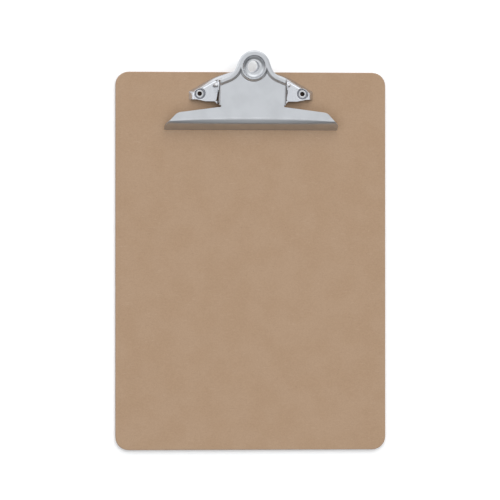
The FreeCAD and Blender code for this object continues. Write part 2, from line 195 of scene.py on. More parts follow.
# Limits of the meshes: points of an outline nearer than LEAST_EDGE are one point, triangles
# flatter than SLIVER_HEIGHT are rounding errors along it, and where a skin is cut off flat at the
# board its rows keep FOOT_SPREAD of their spacing. TINY tells equal values apart from others.
LEAST_EDGE = 0.03
LEAST_RADIUS = 1e-4
SLIVER_HEIGHT = 2e-4
FOOT_SPREAD = 0.35
SLOPE_NUDGE = 0.01
TINY = 1e-6

# Steps between mesh points, and the spans (from, to) in plan or (y, y, z, z) that they fill.
EDGE_STEP = 0.45
JAW_STEP = 1.4
PLAIN_STEP = 1.6
PRESSED_STEP = 0.4
RING_STEP = 0.36
PRESSED_Y = (143, 178)
PLAIN_END_Y = 146
LIP_ROWS = np.concatenate([[111, 112.4, 113.6], np.arange(114.3, 116.2, 0.17)])
FOLD_ROWS = np.concatenate([np.arange(-1.8, 1.9, 0.3), [2.5, 3.6]])
BEVEL_ROWS = (0.6, 1.3, 2.0, 2.5, 2.8, 3.05, 3.3, 3.55, 3.8, 4.1, 4.6)
FLANGE_SPAN = (129, 153, 8, 20)
EAR_SPAN = (134, 154, 7, 19)
BASE_SPAN_Y = (131, 174)


# -------- plane geometry

def unit(vector):
    return vector / np.linalg.norm(vector)


def mirrored(right_side):
    """Corners (x, y, radius) of a shape that is the same on both sides of x = 0."""
    return right_side + [(-x, y, r) for x, y, r in reversed(right_side) if x > 0]


def outline(corners, step):
    """Points and outward normals along a closed anticlockwise outline with rounded corners."""
    count = len(corners)
    arcs = []
    for i, (x, y, radius) in enumerate(corners):
        corner = np.array((x, y), float)
        before = unit(np.array(corners[i - 1][:2]) - corner)
        after = unit(np.array(corners[(i + 1) % count][:2]) - corner)
        half = math.acos(float(np.clip(before @ after, -1, 1))) / 2
        radius = max(radius, LEAST_RADIUS)
        setback = radius / math.tan(half)
        centre = corner + unit(before + after) * (radius / math.sin(half))
        convex = before[0] * after[1] - before[1] * after[0] < 0
        arcs.append((corner + before * setback, corner + after * setback, centre, radius, convex))
    points = []
    normals = []
    for i, (start, end, centre, radius, convex) in enumerate(arcs):
        first = math.atan2(*(start - centre)[::-1])
        last = math.atan2(*(end - centre)[::-1])
        sweep = (last - first + math.pi) % (2 * math.pi) - math.pi
        parts = max(2, int(math.ceil(abs(sweep) * radius / step)), int(abs(sweep) / 0.2))
        for k in range(parts + 1):
            angle = first + sweep * k / parts
            away = np.array((math.cos(angle), math.sin(angle)))
            points.append(centre + away * radius)
            normals.append(away if convex else -away)
        following = arcs[(i + 1) % count][0]
        run = following - end
        length = np.linalg.norm(run)
        parts = int(math.ceil(length / step))
        side = unit(np.array((run[1], -run[0]))) if length > TINY else None
        for k in range(1, parts):
            points.append(end + run * k / parts)
            normals.append(side)
    points = np.array(points)
    apart = np.linalg.norm(points - np.roll(points, 1, 0), axis=1) > LEAST_EDGE
    return points[apart], np.array(normals)[apart]


def circle(x, y, radius, step):
    count = max(12, int(round(2 * math.pi * radius / step)))
    angles = np.arange(count) * 2 * math.pi / count
    return np.stack([x + radius * np.cos(angles), y + radius * np.sin(angles)], 1)


def at_rivets(radius, step):
    """Circles round the two rivets in plan."""
    return [circle(side * RIVET_X, RIVET_Y, radius, step) for side in (1, -1)]


def inside(points, loop):
    """Whether each point lies inside a closed loop."""
    result = np.zeros(len(points), bool)
    following = np.roll(loop, -1, 0)
    for (x0, y0), (x1, y1) in zip(loop, following):
        if y0 == y1:
            continue
        crosses = (points[:, 1] > min(y0, y1)) & (points[:, 1] <= max(y0, y1))
        at = x0 + (points[:, 1] - y0) * (x1 - x0) / (y1 - y0)
        result ^= crosses & (at > points[:, 0])
    return result


def distance_to(points, line):
    """Distance from each point to the nearest sample of a finely sampled line."""
    tree = KDTree(len(line))
    for i, (x, y) in enumerate(line):
        tree.insert((x, y, 0.0), i)
    tree.balance()
    return np.array([tree.find((x, y, 0.0))[2] for x, y in points])


def grid(x_from, x_to, y_from, y_to, step):
    """Points in staggered rows."""
    rows = []
    height = step * math.sqrt(3) / 2
    for k, y in enumerate(np.arange(y_from, y_to + height / 2, height)):
        xs = np.arange(x_from + (k % 2) * step / 2, x_to + step / 2, step)
        rows.append(np.stack([xs, np.full(len(xs), y)], 1))
    return np.concatenate(rows)


def scattered(loops, batches):
    """Points of the batches that lie inside the loops, each batch kept clear of earlier points."""
    taken = np.concatenate(loops)
    kept = []
    for points, clearance in batches:
        keep = inside(points, loops[0])
        for hole in loops[1:]:
            keep &= ~inside(points, hole)
        points = points[keep]
        points = points[distance_to(points, taken) > clearance] if len(points) else points
        kept.append(points)
        taken = np.concatenate([taken, points])
    return np.concatenate(kept)


def triangulated(loops, interior):
    """Flat triangles that fill the first loop, less the others, through the interior points."""
    points = np.concatenate(loops + [interior])
    edges = []
    start = 0
    for loop in loops:
        count = len(loop)
        edges += [(start + i, start + (i + 1) % count) for i in range(count)]
        start += count
    cut = delaunay_2d_cdt([Vector(p) for p in points], edges, [], 0, 1e-7)
    flat = np.array([tuple(v) for v in cut[0]])
    faces = np.array(cut[2])
    first, second, third = (flat[faces[:, k]] for k in range(3))
    along, across = second - first, third - first
    doubled_area = np.abs(along[:, 0] * across[:, 1] - along[:, 1] * across[:, 0])
    sides = np.stack([along, across, third - second])
    longest = np.sqrt((sides ** 2).sum(axis=2)).max(axis=0)
    middles = (first + second + third) / 3
    keep = inside(middles, loops[0]) & (doubled_area > SLIVER_HEIGHT * longest)
    for hole in loops[1:]:
        keep &= ~inside(middles, hole)
    return flat, faces[keep]


def smooth_min(a, b, reach):
    """The lesser of two heights, rounded over where they differ by less than the reach."""
    blend = np.clip(1 - np.abs(a - b) / reach, 0, None)
    return np.minimum(a, b) - blend ** 2 * reach / 4


def smooth_max(a, b, reach):
    return -smooth_min(-a, -b, reach)


def smooth_step(low, high, value):
    t = np.clip((value - low) / (high - low), 0, 1)
    return t * t * (3 - 2 * t)


def slopes(height, x, y):
    """How steeply a height rises along X and along Y."""
    along_x = height(x + SLOPE_NUDGE, y) - height(x - SLOPE_NUDGE, y)
    along_y = height(x, y + SLOPE_NUDGE) - height(x, y - SLOPE_NUDGE)
    return along_x / (2 * SLOPE_NUDGE), along_y / (2 * SLOPE_NUDGE)


def square_to(slope_x, slope_y):
    """Unit normals of a surface with these slopes."""
    square = np.stack([-slope_x, -slope_y, np.ones(len(slope_x))], 1)
    return square / np.linalg.norm(square, axis=1)[:, None]


# -------- meshes

def in_scene(name, data):
    made = bpy.data.objects.new(name, data)
    bpy.context.scene.collection.objects.link(made)
    return made


def mesh_piece(name, vertices, faces):
    """A mesh object in metres from vertices in millimetres."""
    mesh = bpy.data.meshes.new(name)
    mesh.from_pydata((np.asarray(vertices) * MM).tolist(), [], [list(map(int, f)) for f in faces])
    mesh.validate()
    mesh.polygons.foreach_set("use_smooth", [True] * len(mesh.polygons))
    mesh.update()
    return in_scene(name, mesh)


class Sheet:
    """A pressed sheet: patches of an outer and an inner skin that share their faces."""

    def __init__(self):
        self.outer = []
        self.inner = []
        self.faces = []
        self.index = {}

    def vertex(self, outer, inner):
        key = tuple(np.round(np.concatenate([outer, inner]), 3))
        if key not in self.index:
            self.index[key] = len(self.outer)
            self.outer.append(outer)
            self.inner.append(inner)
        return self.index[key]

    def patch(self, outer, inner, faces):
        numbers = [self.vertex(o, i) for o, i in zip(outer, inner)]
        for face in faces:
            welded = list(dict.fromkeys(numbers[k] for k in face))
            if len(welded) > 2:
                self.faces.append(welded)

    def strip(self, outer_rows, inner_rows):
        """Quads between rows of points of equal length."""
        rows = len(outer_rows)
        count = len(outer_rows[0])
        outer = np.concatenate(outer_rows)
        inner = np.concatenate(inner_rows)
        faces = []
        for r in range(rows - 1):
            for k in range(count - 1):
                a = r * count + k
                faces.append((a, a + count, a + count + 1, a + 1))
        self.patch(outer, inner, faces)

    def upright(self, loops, field, side, x, thickness, row_outer, row_inner):
        """A flat wall across X on one side, welded to the row of points it meets."""
        flat, faces = triangulated(loops, field)
        if side < 0:
            faces = faces[:, ::-1]
        outer = np.column_stack([np.full(len(flat), side * x), flat])
        inner = outer - np.array((side * thickness, 0, 0))
        join_row(outer, inner, row_outer, row_inner)
        self.patch(outer, inner, faces)

    def piece(self, name, edge_round):
        """The closed sheet: both skins, joined round every free edge."""
        count = len(self.outer)
        used = {}
        for face in self.faces:
            used.update(dict.fromkeys(zip(face, face[1:] + face[:1])))
        faces = list(self.faces)
        faces += [[k + count for k in reversed(face)] for face in self.faces]
        for a, b in used:
            if (b, a) not in used:
                faces.append([b, a, a + count, b + count])
        made = mesh_piece(name, np.concatenate([self.outer, self.inner]), faces)
        soften(made, edge_round, 50)
        return made


def join_row(outer, inner, row_outer, row_inner):
    """Moves the points of a patch that lie on a row of its neighbour exactly onto that row."""
    for on_outer, on_inner in zip(row_outer, row_inner):
        same = int(np.argmin(np.linalg.norm(outer - on_outer, axis=1)))
        outer[same] = on_outer
        inner[same] = on_inner


def rolled(outer, inner, across, turn, outer_radius, inner_radius, angles):
    """Rows of both skins as they bend, angle by angle, from across towards turn."""
    outer_rows = [outer]
    inner_rows = [inner]
    for angle in np.radians(angles):
        over, rise = math.sin(angle), 1 - math.cos(angle)
        outer_rows.append(outer + across * (outer_radius * over) + turn * (outer_radius * rise))
        inner_rows.append(inner + across * (inner_radius * over) + turn * (inner_radius * rise))
    return outer_rows, inner_rows


def soften(piece, width, angle):
    """Rounds the edges of a piece that are sharper than an angle in degrees."""
    bevel = piece.modifiers.new("soft_edges", "BEVEL")
    bevel.width = width * MM
    bevel.segments = 2
    bevel.limit_method = "ANGLE"
    bevel.angle_limit = math.radians(angle)
    bevel.harden_normals = True
    bevel.use_clamp_overlap = False


def ring_faces(rings, count):
    """Quads between closed rings of points, numbered ring after ring."""
    faces = []
    for r in range(rings - 1):
        for k in range(count):
            a = r * count + k
            b = r * count + (k + 1) % count
            faces.append((a, b, b + count, a + count))
    return faces


def lathe(name, profile, segments):
    """A turned piece about +Z from (radius, z) points; ends on the axis are closed."""
    profile = np.asarray(profile, float)
    angles = np.arange(segments) * 2 * math.pi / segments
    vertices = []
    rings = []
    for radius, z in profile:
        if radius < TINY:
            rings.append([len(vertices)] * segments)
            vertices.append((0, 0, z))
        else:
            rings.append(list(range(len(vertices), len(vertices) + segments)))
            vertices += [(radius * math.cos(a), radius * math.sin(a), z) for a in angles]
    faces = []
    for low, high in zip(rings, rings[1:]):
        for k in range(segments):
            face = [low[k], low[(k + 1) % segments], high[(k + 1) % segments], high[k]]
            face = list(dict.fromkeys(face))
            if len(face) > 2:
                faces.append(face)
    return mesh_piece(name, vertices, faces)


def tube(name, path, radius, segments):
    """A round wire along a path, with domed ends."""
    path = np.asarray(path, float)
    tangents = np.gradient(path, axis=0)
    tangents /= np.linalg.norm(tangents, axis=1)[:, None]
    side = unit(np.cross(tangents[0], (0.3, 0.5, 0.8)))
    rings = []
    angles = np.arange(segments) * 2 * math.pi / segments

    def ring(centre, tangent, across, size):
        up = np.cross(tangent, across)
        return [centre + size * (math.cos(a) * across + math.sin(a) * up) for a in angles]

    dome = [math.radians(a) for a in (75, 45, 20)]
    frames = []
    for tangent in tangents:
        side = unit(side - tangent * (side @ tangent))
        frames.append(side)
    for angle in dome:
        centre = path[0] - tangents[0] * radius * math.sin(angle) * 0.5
        rings.append(ring(centre, tangents[0], frames[0], radius * math.cos(angle)))
    for point, tangent, across in zip(path, tangents, frames):
        rings.append(ring(point, tangent, across, radius))
    for angle in reversed(dome):
        centre = path[-1] + tangents[-1] * radius * math.sin(angle) * 0.5
        rings.append(ring(centre, tangents[-1], frames[-1], radius * math.cos(angle)))
    vertices = np.concatenate(rings)
    faces = ring_faces(len(rings), segments)
    faces.append(list(range(segments - 1, -1, -1)))
    faces.append(list(range((len(rings) - 1) * segments, len(rings) * segments)))
    return mesh_piece(name, vertices, faces)


# -------- lever

def panel_z(y):
    return FOLD_Z + (y - FOLD_Y) * math.tan(TILT)


def lever_height(x, y):
    """The outer face of the unpressed lever: lip, shoulder and flat panel."""
    fold_y = FOLD_Y - FOLD_ARCH * (x / FOLD_ARCH_X) ** 2
    shoulder_slope = (panel_z(fold_y) - LIP_TOP_Z) / (fold_y - LIP_TOP_Y)
    shoulder = LIP_TOP_Z + (y - LIP_TOP_Y) * shoulder_slope
    lip_slope = (LIP_TOP_Z - LIP_FOOT_Z) / (LIP_TOP_Y - LIP_FOOT_Y)
    lip = LIP_FOOT_Z + (y - LIP_FOOT_Y) * lip_slope
    return smooth_min(smooth_min(lip, shoulder, LIP_CREASE), panel_z(y), FOLD_CREASE)


def lobe_apex_y(inset=0.0):
    return LOBE_Y + (LOBE_RADIUS - inset) / math.sin(NECK_FLARE)


def neck_corners(inset):
    """Shoulder, neck and lobe corners on the right, moved in from the lever's edge."""
    corner_x = (lobe_apex_y() - NECK_CORNER_Y) * math.tan(NECK_FLARE)
    run = unit(np.array((corner_x - PANEL_HALF_WIDTH, NECK_CORNER_Y - SHOULDER_Y)))
    outward = np.array((-run[1], run[0])) * -1
    on_slope = np.array((PANEL_HALF_WIDTH, SHOULDER_Y)) - outward * inset
    slope = run[1] / run[0]
    side_x = PANEL_HALF_WIDTH - inset
    shoulder = (side_x, on_slope[1] + (side_x - on_slope[0]) * slope)
    apex = lobe_apex_y(inset)
    flare = math.tan(NECK_FLARE)
    x = (apex - on_slope[1] + slope * on_slope[0]) / (1 / flare + slope)
    neck = (x, apex - x / flare)
    return shoulder, neck, (0.0, apex)


def lever_corners(inset):
    shoulder, neck, apex = neck_corners(inset)
    return [
        (JAW_HALF_WIDTH - 0.2, LIP_FOOT_Y, 0.8),
        (JAW_HALF_WIDTH, JAW_CORNER_Y, 3.0),
        (JAW_BEND[0], JAW_BEND[1], 8.0),
        (PANEL_HALF_WIDTH - inset, PANEL_FRONT_Y, 0.5),
        (shoulder[0], shoulder[1], 0.5),
        (neck[0], neck[1], NECK_RADIUS + inset),
        (0.0, apex[1], LOBE_RADIUS - inset),
    ]


def neck_line(step):
    """The true edge of the neck and lobe, run on sideways past the panel."""
    shoulder, neck, apex = neck_corners(0.0)
    slope = (neck[1] - shoulder[1]) / (neck[0] - shoulder[0])
    far_x = PANEL_HALF_WIDTH + 12
    far_y = shoulder[1] + slope * (far_x - shoulder[0])
    corners = mirrored([
        (far_x, far_y, 0.0),
        (neck[0], neck[1], NECK_RADIUS),
        (0.0, apex[1], LOBE_RADIUS),
    ])
    line = outline(corners, step)[0]
    return line[line[:, 1] > far_y + step]


def lever_emboss(points):
    """How far the press has raised the panel at each point: rim, ring and dished bowl."""
    line = neck_line(0.1)
    from_edge = distance_to(points, line)
    from_lobe = np.hypot(points[:, 0], points[:, 1] - LOBE_Y)
    rim = 1 - smooth_step(RIM_WIDTH, RIM_WIDTH + RIM_STEP, from_edge)
    ring = 1 - smooth_step(RING_RADIUS, RING_RADIUS + RIM_STEP, from_lobe)
    raised = RIM_HEIGHT * np.maximum(rim, ring)
    hole_edge = RIM_HEIGHT - BOWL_DEPTH
    width = BOWL_RADIUS + BOWL_OVERRUN - LEVER_HOLE_RADIUS
    t = np.clip((from_lobe - LEVER_HOLE_RADIUS) / width, 0, 1)
    curve = 1 - np.sqrt(np.clip(1 - t ** BOWL_ROUNDNESS, 0, 1))
    dish = hole_edge + (BOWL_DEPTH + BOWL_MARGIN) * curve
    in_bowl = from_lobe <= BOWL_RADIUS + BOWL_MARGIN
    return np.where(in_bowl, smooth_min(raised, dish, BOWL_CREASE), raised)


def lever_skins(points):
    """Outer and inner skin of the lever above plan points."""
    x, y = points[:, 0], points[:, 1]
    z = lever_height(x, y)
    slope_x, slope_y = slopes(lever_height, x, y)
    raised = np.where(y > FLANGE_FRONT_Y, lever_emboss(points), 0.0)
    outer = np.stack([x, y, z + raised / math.cos(TILT)], 1)
    inner = outer - square_to(slope_x, slope_y) * LEVER_SHEET
    below = np.clip(LIP_FOOT_Z - inner[:, 2], 0, None)
    inner[:, 1] += (1 - FOOT_SPREAD) * below / np.maximum(slope_y, 0.3)
    inner[:, 2] += below
    return outer, inner


def offset_rows(points, normals, insets):
    """Copies of an outline moved in by each inset."""
    return np.concatenate([points - normals * inset for inset in insets])


def lever_points(loops, normals):
    rows = offset_rows(loops[0], normals, (0.3, 0.65, 1.1))
    xs = np.arange(-JAW_HALF_WIDTH, JAW_HALF_WIDTH, JAW_STEP)
    fold = FOLD_Y - FOLD_ARCH * (xs / FOLD_ARCH_X) ** 2
    lip = [np.stack([xs, np.full(len(xs), y)], 1) for y in LIP_ROWS]
    crease = [np.stack([xs, fold + offset], 1) for offset in FOLD_ROWS]
    radii = np.arange(LEVER_HOLE_RADIUS + 0.3, LOBE_RADIUS + RIM_STEP, 0.33)
    bowl = [circle(0, LOBE_Y, radius, RING_STEP) for radius in radii]
    fine = grid(-PANEL_HALF_WIDTH, PANEL_HALF_WIDTH, *PRESSED_Y, PRESSED_STEP)
    coarse = grid(-JAW_HALF_WIDTH, JAW_HALF_WIDTH, FOLD_Y - 1, PLAIN_END_Y, PLAIN_STEP)
    batches = [
        (rows, 0.15),
        (np.concatenate(lip), 0.16),
        (np.concatenate(crease), 0.16),
        (np.concatenate(bowl), 0.2),
        (fine, 0.24),
        (coarse, 0.7),
    ]
    return scattered(loops, batches)


def flange_loops(top_row):
    """The folded side in (y, z), hung from its top row, and the hole that runs on the pin."""
    foot = HINGE_Z - FLANGE_DEPTH_RADIUS
    front = top_row[0]
    rear = top_row[-1]
    corners = [
        (front[0], front[1] - 0.8, 0.6),
        (HINGE_Y - FLANGE_DEPTH_RADIUS - 1, foot, FLANGE_DEPTH_RADIUS),
        (rear[0], foot, FLANGE_DEPTH_RADIUS - 0.2),
        (rear[0], rear[1] + 3, 0.0),
        (front[0], front[1] + 3, 0.0),
    ]
    points = outline(corners, 0.8)[0]
    limit = np.interp(points[:, 0], top_row[:, 0], top_row[:, 1])
    lower = points[points[:, 1] < limit - 0.15]
    start = int(np.argmin(lower[:, 0] + lower[:, 1] * -1e-3))
    lower = np.roll(lower, -start, 0)
    loop = np.concatenate([lower, top_row[::-1]])
    return [loop, circle(HINGE_Y, HINGE_Z, PIN_RADIUS + PIN_PLAY, 0.5)]


def make_lever():
    sheet = Sheet()
    edge, normals = outline(mirrored(lever_corners(ROLL)), EDGE_STEP)
    hole = circle(0, LOBE_Y, LEVER_HOLE_RADIUS, RING_STEP)
    flat, faces = triangulated([edge, hole], lever_points([edge, hole], normals))
    outer, inner = lever_skins(flat)

    # the side, shoulder, neck and lobe roll over into a rim; the side goes on down as a flange
    on_panel = (edge[:, 0] > 0) & (edge[:, 0] < PANEL_HALF_WIDTH)
    first = int(np.argmax(on_panel & (edge[:, 1] >= FLANGE_FRONT_Y)))
    after = [k for k in range(first, len(edge)) if edge[k, 1] < FLANGE_FRONT_Y][0]
    edge, normals = edge[first:after], normals[first:after]
    top, top_inner = lever_skins(edge)
    join_row(outer, inner, top, top_inner)
    sheet.patch(outer, inner, faces)
    down = np.array((0.0, 0.0, -1.0))
    lean = np.array((0.0, math.cos(TILT), math.sin(TILT)))
    across = np.array((1.0, 0.0, 0.0)) * normals[:, :1] + lean * normals[:, 1:]
    angles = (18, 36, 54, 72, 90)
    outer_rows, inner_rows = rolled(top, top_inner, across, down, ROLL, ROLL - LEVER_SHEET, angles)
    sheet.strip(outer_rows, inner_rows)
    is_flange = (np.abs(edge[:, 0]) > PANEL_HALF_WIDTH - ROLL - TINY) & (edge[:, 1] < FLANGE_REAR_Y)
    rim = np.where(~is_flange)[0]
    rim = np.arange(rim[0] - 1, rim[-1] + 2)
    wall = down * (RIM_DEPTH - ROLL)
    last_outer, last_inner = outer_rows[-1], inner_rows[-1]
    steps = (0.0, 0.5, 1.0)
    sheet.strip(
        [last_outer[rim] + wall * s for s in steps],
        [last_inner[rim] + wall * s for s in steps],
    )
    for side in (1, -1):
        columns = np.where(is_flange & (edge[:, 0] * side > 0))[0][::side]
        row = last_outer[columns]
        loops = flange_loops(row[:, 1:])
        field = grid(*FLANGE_SPAN, 2.2)
        sheet.upright(loops, field, side, PANEL_HALF_WIDTH, LEVER_SHEET, row, last_inner[columns])
    return sheet.piece("lever_pressing", 0.16)


# -------- base plate

def bevel_lines():
    """Point and inward normal of each bevelled edge on the right."""
    tip = (BASE_HIGH[0], BEVEL_TIP_Y)
    lines = [(np.array(tip), np.array((-1.0, 0.0)))]
    for start, end in ((tip, BEVEL_SHOULDER), (BEVEL_SHOULDER, BEVEL_INNER_END)):
        run = unit(np.array(end) - np.array(start))
        lines.append((np.array(start), np.array((-run[1], run[0]))))
    return lines


def from_bevel(x, y):
    """Distance in from the bevelled edges."""
    inward = None
    for start, normal in bevel_lines():
        distance = (np.abs(x) - start[0]) * normal[0] + (y - start[1]) * normal[1]
        inward = distance if inward is None else smooth_min(inward, distance, BEVEL_CREASE)
    return inward


def tongue_apex_y():
    flare = math.atan2(TONGUE_ROOT[0], HANG_HOLE_Y + TONGUE_MEET - TONGUE_ROOT[1])
    return HANG_HOLE_Y + HANG_RING_RADIUS / math.sin(flare)


def on_tongue(x, y):
    flare = TONGUE_ROOT[0] / (tongue_apex_y() - TONGUE_ROOT[1])
    margin = 0.1
    return np.abs(x) < np.minimum(TONGUE_ROOT[0] + margin, (tongue_apex_y() - y) * flare + margin)


def base_height(x, y):
    slope = (PLATFORM_TOP - BOARD_TOP) / BEVEL_WIDTH
    bevel = BOARD_TOP + from_bevel(x, y) * slope
    plate = smooth_min(bevel, np.full_like(x, PLATFORM_TOP), PLATFORM_CREASE)
    plate = np.where(on_tongue(x, y), PLATFORM_TOP, plate)
    floor = BOARD_TOP + BASE_SHEET
    from_rivet = np.hypot(np.abs(x) - RIVET_X, y - RIVET_Y)
    wall = (PLATFORM_TOP - floor) / (DIMPLE_TOP_RADIUS - DIMPLE_FLOOR_RADIUS)
    cone = floor + (from_rivet - DIMPLE_FLOOR_RADIUS) * wall
    dimple = smooth_max(cone, np.full_like(x, floor), DIMPLE_FLOOR_CREASE)
    near = from_rivet < DIMPLE_TOP_RADIUS + 1.5
    return np.where(near, smooth_min(plate, dimple, DIMPLE_TOP_CREASE), plate)


def base_skins(points):
    """Outer and inner skin of the base plate above plan points."""
    x, y = points[:, 0], points[:, 1]
    z = base_height(x, y)
    slope_x, slope_y = slopes(base_height, x, y)
    flat = on_tongue(x, y) & (y > TONGUE_ROOT[1] - 1)
    slope_x = np.where(flat, 0.0, slope_x)
    slope_y = np.where(flat, 0.0, slope_y)
    outer = np.stack([x, y, z], 1)
    inner = outer - square_to(slope_x, slope_y) * BASE_SHEET
    below = np.clip(BOARD_TOP - inner[:, 2], 0, None)
    gradient = np.stack([slope_x, slope_y], 1)
    length2 = np.maximum((gradient ** 2).sum(1), 0.2)
    inner[:, :2] += gradient * ((1 - FOOT_SPREAD) * below / length2)[:, None]
    inner[:, 2] += below
    return outer, inner


def base_corners():
    """The base plate in plan: open front edge, bevelled tips and rear, tongue."""
    tongue_x, tongue_y = TONGUE_ROOT
    apex_y = tongue_apex_y()
    flare = tongue_x / (apex_y - tongue_y)
    slope = (BEVEL_INNER_END[1] - BEVEL_SHOULDER[1]) / (BEVEL_INNER_END[0] - BEVEL_SHOULDER[0])
    beside = TONGUE_GAP + apex_y * flare - BEVEL_INNER_END[0]
    meet_y = (BEVEL_INNER_END[1] + slope * beside) / (1 + slope * flare)
    meet_x = (apex_y - meet_y) * flare + TONGUE_GAP
    return mirrored([
        (EAR_INNER_X, FRONT_TAB_Y, 1.0),
        (EAR_INNER_X + 2.4, FRONT_Y, 1.0),
        (FRONT_STEP_X[0], FRONT_Y, 4.0),
        (FRONT_STEP_X[1], WING_FRONT_Y, 4.0),
        (BASE_HIGH[0], WING_FRONT_Y, 0.3),
        (BASE_HIGH[0], BEVEL_TIP_Y, 1.2),
        (BEVEL_SHOULDER[0], BEVEL_SHOULDER[1], 2.0),
        (meet_x, meet_y, 0.2),
        (tongue_x + TONGUE_GAP, tongue_y - TONGUE_STEP, 0.08),
        (tongue_x, tongue_y - TONGUE_STEP, 0.08),
        (tongue_x - 0.05, tongue_y, 0.5),
        (0.0, apex_y, HANG_RING_RADIUS),
    ])


def window_corners(side):
    low = EAR_FOOT_FRONT_Y - WINDOW_END_GAP
    high = EAR_FOOT_REAR_Y + WINDOW_END_GAP
    foot_x = EAR_INNER_X + BASE_SHEET + EAR_BEND
    corners = [
        (WINDOW_INNER_X, low, 0.6),
        (foot_x, low, 0.25),
        (foot_x, high, 0.25),
        (WINDOW_INNER_X, high, 0.6),
    ]
    if side < 0:
        corners = [(-x, y, r) for x, y, r in reversed(corners)]
    return corners


def ear_loops(foot_row):
    """The ear in (y, z) above its foot row, and the pin's hole."""
    top = HINGE_Z + EAR_RADIUS
    corners = [
        (foot_row[0][0], foot_row[0][1], 0.0),
        (foot_row[-1][0], foot_row[-1][1], 0.0),
        (HINGE_Y + EAR_RADIUS, top, EAR_RADIUS - 0.4),
        (HINGE_Y - EAR_RADIUS, top, EAR_RADIUS - 0.4),
    ]
    points = outline(corners, 0.6)[0]
    upper = points[points[:, 1] > foot_row[0][1] + 0.12]
    loop = np.concatenate([foot_row, upper])
    return [loop, circle(HINGE_Y, HINGE_Z, PIN_RADIUS, 0.5)]


def make_base():
    sheet = Sheet()
    edge, normals = outline(base_corners(), 0.5)
    rows = [offset_rows(edge, normals, (0.25, 0.6))]
    windows = []
    for side in (1, -1):
        window, normals = outline(window_corners(side), 0.5)
        windows.append(window)
        rows.append(offset_rows(window, -normals, (0.25, 0.6, 1.1)))
    loops = [edge] + windows + [circle(0, HANG_HOLE_Y, HANG_HOLE_RADIUS, 0.4)]
    loops += at_rivets(RIVET_HOLE_RADIUS, 0.35)
    rings = []
    for side in (1, -1):
        rings.append(circle(side * RIVET_X, RIVET_Y, 2.9, 0.4))
        for radius in np.arange(DIMPLE_FLOOR_RADIUS - 0.5, DIMPLE_TOP_RADIUS + 0.6, 0.13):
            rings.append(circle(side * RIVET_X, RIVET_Y, radius, 0.25))
    creases = []
    for start, normal in bevel_lines():
        along = np.array((normal[1], -normal[0]))
        for inset in BEVEL_ROWS:
            run = start + normal * inset + np.outer(np.arange(-40, 40, 0.6), along)
            nearest = np.abs(from_bevel(run[:, 0], run[:, 1]) - inset) < 0.25
            creases += [run[nearest], run[nearest] * (-1, 1)]
    field = grid(-BASE_HIGH[0], BASE_HIGH[0], *BASE_SPAN_Y, 1.1)
    batches = [
        (np.concatenate(rows), 0.15),
        (np.concatenate(rings), 0.1),
        (np.concatenate(creases), 0.2),
        (field, 0.5),
    ]
    flat, faces = triangulated(loops, scattered(loops, batches))
    outer, inner = base_skins(flat)
    sheet.patch(outer, inner, faces)

    foot_x = EAR_INNER_X + BASE_SHEET + EAR_BEND
    for side, loop in zip((1, -1), windows):
        on_foot = np.abs(np.abs(loop[:, 0]) - foot_x) < TINY
        on_foot &= (loop[:, 1] >= EAR_FOOT_FRONT_Y) & (loop[:, 1] <= EAR_FOOT_REAR_Y)
        row = loop[on_foot]
        row = row[np.argsort(row[:, 1])]
        foot, foot_inner = base_skins(row)
        inward = np.array((-side, 0.0, 0.0))
        up = np.array((0.0, 0.0, 1.0))
        outside = EAR_BEND + BASE_SHEET
        angles = (22.5, 45, 67.5, 90)
        outer_rows, inner_rows = rolled(foot, foot_inner, inward, up, EAR_BEND, outside, angles)
        sheet.strip([row[::-side] for row in outer_rows], [row[::-side] for row in inner_rows])
        last_outer, last_inner = outer_rows[-1], inner_rows[-1]
        loops = ear_loops(last_outer[:, 1:])
        field = grid(*EAR_SPAN, 2.4)
        sheet.upright(loops, field, side, EAR_INNER_X + BASE_SHEET, BASE_SHEET, last_outer, last_inner)
    return sheet.piece("base_pressing", 0.13)


# -------- board

def make_board():
    half = BOARD_HIGH[0]
    corners = mirrored([
        (half, BOARD_LOW[1], BOARD_CORNER_RADIUS),
        (half, BOARD_HIGH[1], BOARD_CORNER_RADIUS),
    ])
    edge, normals = outline(corners, 3.0)
    r = BOARD_EDGE_RADIUS
    angles = np.radians((0, 22.5, 45, 67.5, 90))
    lower = [(edge - normals * r * (1 - math.sin(a)), r * (1 - math.cos(a))) for a in angles]
    rings = lower + [(ring, BOARD_TOP - z) for ring, z in reversed(lower)]
    vertices = [np.column_stack([ring, np.full(len(ring), z)]) for ring, z in rings]
    faces = ring_faces(len(rings), len(edge))
    total = len(edge) * len(rings)
    holes = at_rivets(RIVET_HOLE_RADIUS, 0.5)
    recesses = at_rivets(RIVET_RECESS_RADIUS, 0.9)

    def level(loops, z, up):
        nonlocal total
        flat, tris = triangulated(loops, np.zeros((0, 2)))
        vertices.append(np.column_stack([flat, np.full(len(flat), z)]))
        tris = tris if up else tris[:, ::-1]
        faces.extend((tris + total).tolist())
        total += len(flat)

    def wall(loop, low, high):
        nonlocal total
        n = len(loop)
        vertices.append(np.column_stack([loop, np.full(n, low)]))
        vertices.append(np.column_stack([loop, np.full(n, high)]))
        for i in range(n):
            j = (i + 1) % n
            faces.append((total + j, total + i, total + n + i, total + n + j))
        total += 2 * n

    level([rings[-1][0]] + holes, BOARD_TOP, True)
    level([rings[0][0]] + recesses, 0.0, False)
    for hole, ring in zip(holes, recesses):
        level([ring, hole], RIVET_HEAD_THICKNESS, False)
        wall(hole, RIVET_HEAD_THICKNESS, BOARD_TOP)
        wall(ring, 0.0, RIVET_HEAD_THICKNESS)
    board = mesh_piece("board_panel", np.concatenate(vertices), faces)
    weld(board)
    flatten(board)
    return board


